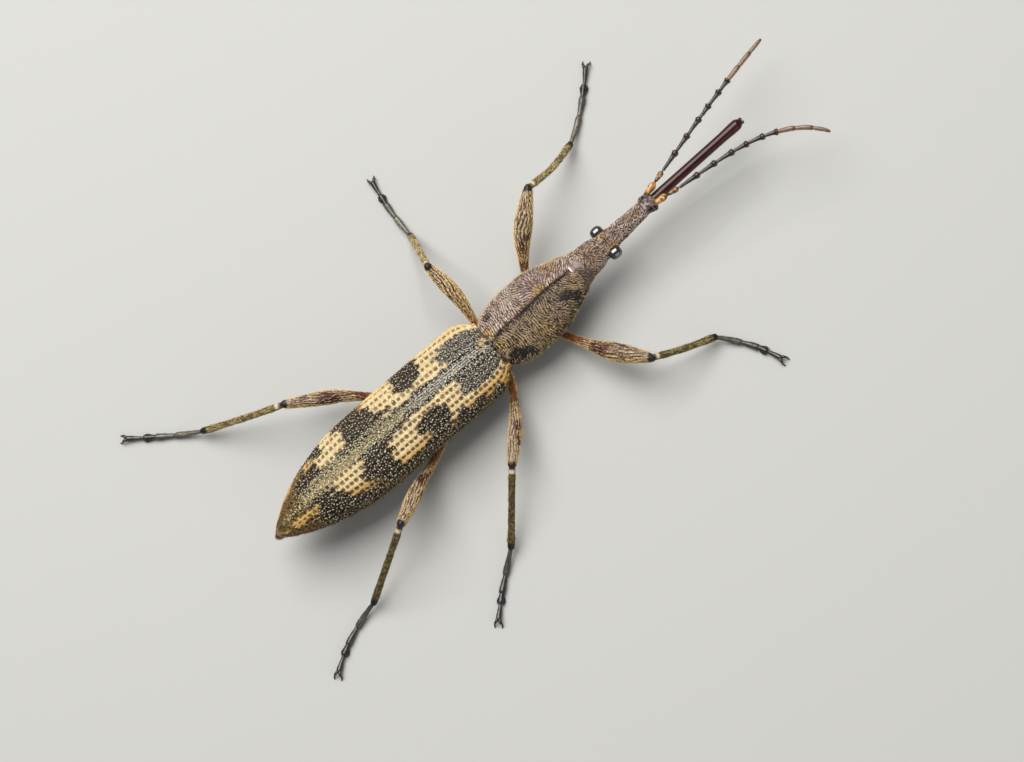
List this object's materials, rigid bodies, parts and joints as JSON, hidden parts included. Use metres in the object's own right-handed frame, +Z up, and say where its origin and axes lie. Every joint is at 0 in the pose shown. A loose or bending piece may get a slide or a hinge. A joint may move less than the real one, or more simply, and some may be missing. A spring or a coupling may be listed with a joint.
{
  "type": "giraffe weevil",
  "caption": "Still life-size model of a female giraffe weevil standing on its feet: long snout, ribbed mottled wing cases, knotted feelers.",
  "frame": {"origin": "middle of the whole outline, on the floor that the feet stand on", "axes": "+Z up, the head points to -Y, the weevil's left side is +X"},
  "size_m": [0.0336, 0.0562, 0.0064],
  "materials": {
    "scaled_cuticle": "purple-brown shell under short golden hair",
    "wing_case": "ribbed and pitted, mottled in cream, tan and brown-black",
    "polished_cuticle": "polished dark maroon",
    "eye": "glossy black",
    "leg_cuticle": "red-brown shell with golden hair",
    "foot_cuticle": "brown-black, satin",
    "antenna_base": "orange-gold, satin",
    "antenna_cuticle": "dark maroon, dull towards the tip"
  },
  "bodies": {
    "root": {"abdomen": "scaled_cuticle", "antenna_left_base": "antenna_base", "antenna_left_flagellum": "antenna_cuticle", "antenna_right_base": "antenna_base", "antenna_right_flagellum": "antenna_cuticle", "elytron_left": "wing_case", "elytron_right": "wing_case", "eye_left": "eye", "eye_right": "eye", "head": "scaled_cuticle", "leg_front_left_femur": "leg_cuticle", "leg_front_left_tarsus": "foot_cuticle", "leg_front_left_tibia": "leg_cuticle", "leg_front_right_femur": "leg_cuticle", "leg_front_right_tarsus": "foot_cuticle", "leg_front_right_tibia": "leg_cuticle", "leg_hind_left_femur": "leg_cuticle", "leg_hind_left_tarsus": "foot_cuticle", "leg_hind_left_tibia": "leg_cuticle", "leg_hind_right_femur": "leg_cuticle", "leg_hind_right_tarsus": "foot_cuticle", "leg_hind_right_tibia": "leg_cuticle", "leg_middle_left_femur": "leg_cuticle", "leg_middle_left_tarsus": "foot_cuticle", "leg_middle_left_tibia": "leg_cuticle", "leg_middle_right_femur": "leg_cuticle", "leg_middle_right_tarsus": "foot_cuticle", "leg_middle_right_tibia": "leg_cuticle", "metathorax": "scaled_cuticle", "pronotum": "scaled_cuticle", "rostrum": "polished_cuticle"}
  },
  "joints": []
}
